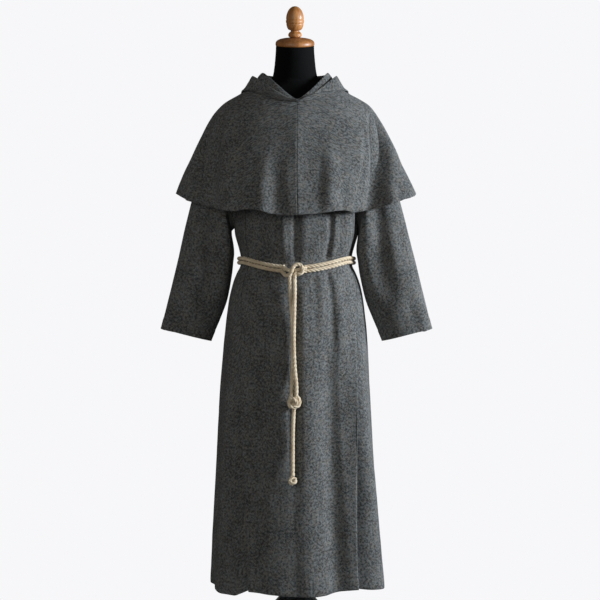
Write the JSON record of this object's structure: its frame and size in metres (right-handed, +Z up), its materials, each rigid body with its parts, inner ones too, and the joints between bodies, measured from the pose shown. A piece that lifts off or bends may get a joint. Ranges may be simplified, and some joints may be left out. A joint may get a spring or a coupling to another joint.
{
  "type": "monk habit on a dress form",
  "caption": "Grey wool tweed monk's habit with a shoulder cape, folded hood and knotted rope belt, on a limbless dress form with a wooden neck cap and a steel foot.",
  "frame": {"origin": "on the floor under the middle of the garment and its form", "axes": "+Z up, -Y to the front of the habit, +X to the wearer's left"},
  "size_m": [0.8118, 0.4604, 1.8925],
  "materials": {
    "wool": "charcoal herringbone tweed, heathered and softly napped",
    "cotton_rope": "natural three-strand cotton rope, matte",
    "jersey": "fine black knit jersey stretched smooth",
    "turned_wood": "turned, stained mid brown, satin varnish",
    "polished_steel": "polished bright"
  },
  "bodies": {
    "root": {"tunic_front": "wool", "tunic_back": "wool", "tunic_side_left": "wool", "tunic_side_right": "wool", "sleeve_left": "wool", "sleeve_right": "wool", "cape_left": "wool", "cape_right": "wool", "hood_left": "wool", "hood_right": "wool", "rope_belt_upper": "cotton_rope", "rope_belt_lower": "cotton_rope", "rope_waist_knot": "cotton_rope", "rope_fall_long": "cotton_rope", "rope_fall_short": "cotton_rope", "rope_mid_knot": "cotton_rope", "rope_tail": "cotton_rope", "rope_end_knot": "cotton_rope", "form_torso": "jersey", "form_neck_cap": "turned_wood", "form_finial": "turned_wood", "form_pole": "polished_steel", "form_base": "polished_steel"}
  },
  "joints": []
}
